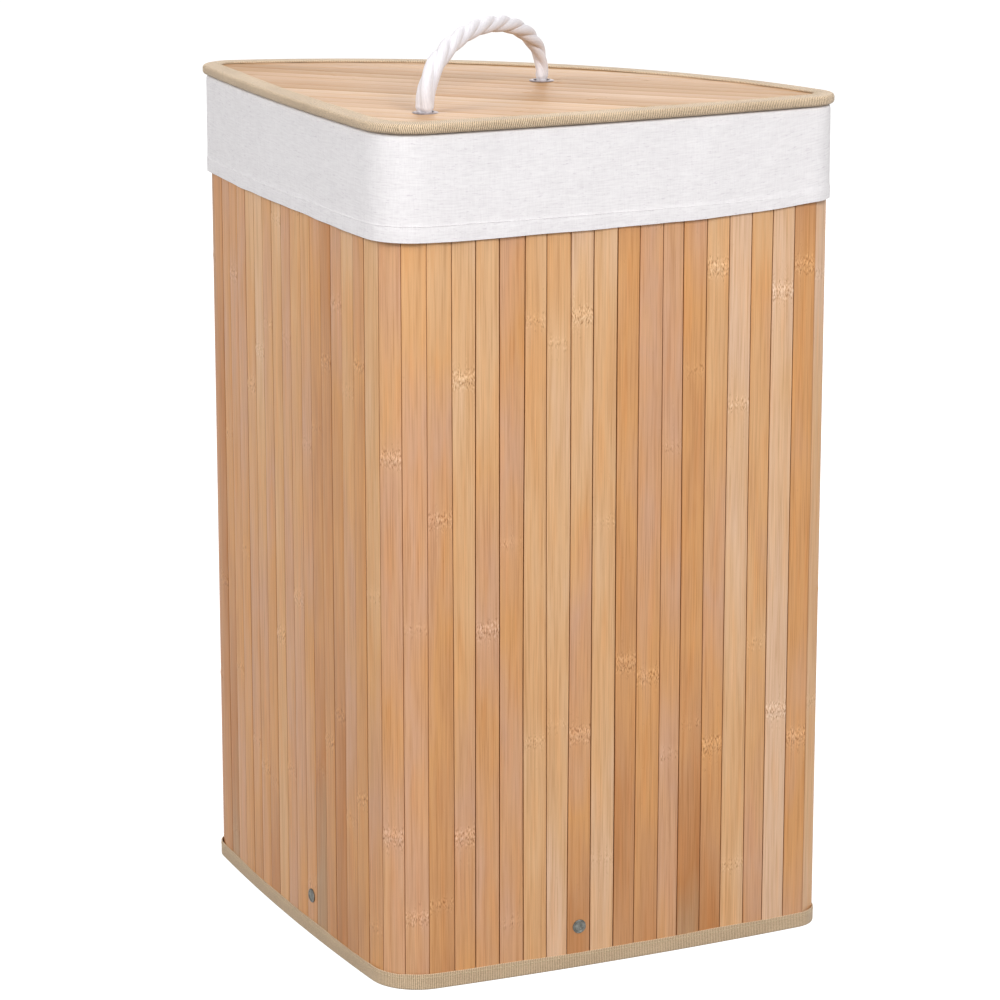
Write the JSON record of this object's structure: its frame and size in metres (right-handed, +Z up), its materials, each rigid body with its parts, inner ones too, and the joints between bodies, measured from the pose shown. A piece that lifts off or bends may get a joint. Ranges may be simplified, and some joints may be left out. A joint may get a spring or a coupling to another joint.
{
  "type": "laundry hamper with lid",
  "caption": "Corner laundry hamper with a bamboo slat wall, a cotton liner bag turned over the rim and a lift-off bamboo lid with a rope handle.",
  "frame": {"origin": "middle of the hamper's box, on the floor", "axes": "+Z up; X from side corner to side corner; +Y towards the square back corner that stands in a room's corner; the bowed front faces -Y"},
  "size_m": [0.4688, 0.3105, 0.6532],
  "materials": {
    "bamboo": "satin lacquered bamboo strips",
    "lid_bamboo": "satin lacquered bamboo strips",
    "board": "fibreboard",
    "backing_cloth": "plain woven cotton backing",
    "tan_tape": "ribbed webbing tape",
    "lid_tape": "herringbone tape",
    "white_cotton": "slubbed cotton and linen cloth",
    "rope_cotton": "three-strand twisted cotton",
    "grey_metal": "dull nickel plate"
  },
  "bodies": {
    "wall_unit": {"slats_back_corner": "bamboo", "slats_left_side": "bamboo", "slats_left_corner": "bamboo", "slats_front": "bamboo", "slats_right_corner": "bamboo", "slats_right_side": "bamboo", "wall_backing": "backing_cloth", "mat_joint_strip": "tan_tape", "base_binding": "tan_tape", "rim_binding": "tan_tape", "base_board": "board", "board_edge_tape": "tan_tape", "base_tabs": "backing_cloth", "snap_caps": "grey_metal", "snap_studs": "grey_metal", "snap_sockets": "grey_metal", "socket_rivets": "grey_metal"},
    "liner_bag": {"liner_wall": "white_cotton", "liner_floor": "white_cotton", "liner_cuff": "white_cotton"},
    "lid": {"lid_slats": "lid_bamboo", "lid_backing": "backing_cloth", "lid_binding": "lid_tape", "eyelets": "grey_metal", "eyelet_washers": "grey_metal", "rope_ends": "rope_cotton", "rope_knots": "rope_cotton"},
    "handle": {"rope_handle": "rope_cotton"}
  },
  "joints": [
    {"name": "liner_lift", "type": "slide", "parent": "wall_unit", "child": "liner_bag", "axis": [0, 0, 1], "range_m": [0, 0.62]},
    {"name": "lid_lift", "type": "slide", "parent": "liner_bag", "child": "lid", "axis": [0, 0, 1], "range_m": [0, 0.15]},
    {"name": "handle_bend", "type": "hinge", "parent": "lid", "child": "handle", "pos_m": [-0.01116, 0.00892, 0.60605], "axis": [0.1305, 0.9914, 0], "range_deg": [-70, 70], "stiffness_Nm_per_rad": 0.06}
  ]
}
